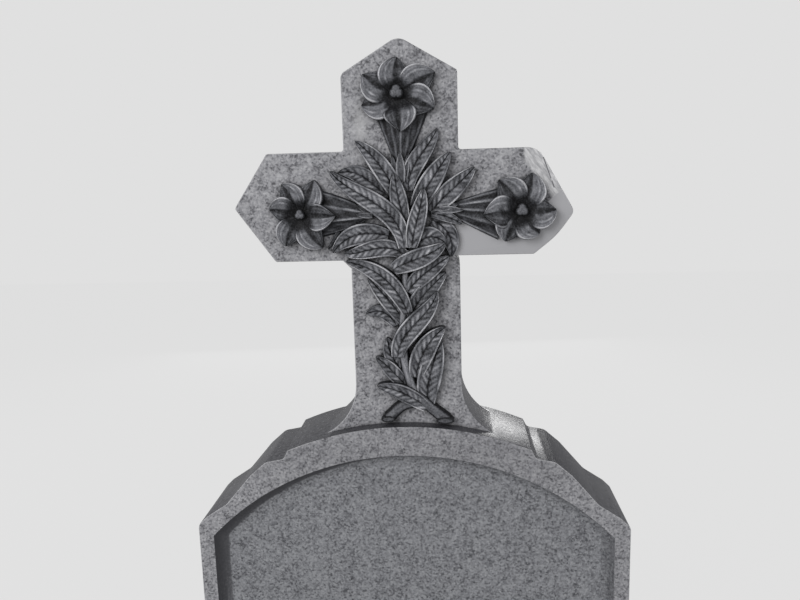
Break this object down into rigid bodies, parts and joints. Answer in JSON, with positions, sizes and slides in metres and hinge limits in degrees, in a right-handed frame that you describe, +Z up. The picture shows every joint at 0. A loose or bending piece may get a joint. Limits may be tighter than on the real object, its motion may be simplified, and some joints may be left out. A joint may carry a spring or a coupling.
{
  "type": "carved granite headstone",
  "caption": "Grey granite headstone: arched tablet with a sunken panel, and a cross with pointed ends carved with lilies and leaves.",
  "frame": {"origin": "middle of the underside", "axes": "+Z up towards the top of the cross, the carved face looks along -Y, +X to the right of someone facing it"},
  "size_m": [0.602, 0.131, 1.1663],
  "materials": {
    "granite": "bush-hammered grey face with fine dark and light grain, darker and smoother polished edges"
  },
  "bodies": {
    "root": {"headstone": "granite"}
  },
  "joints": []
}
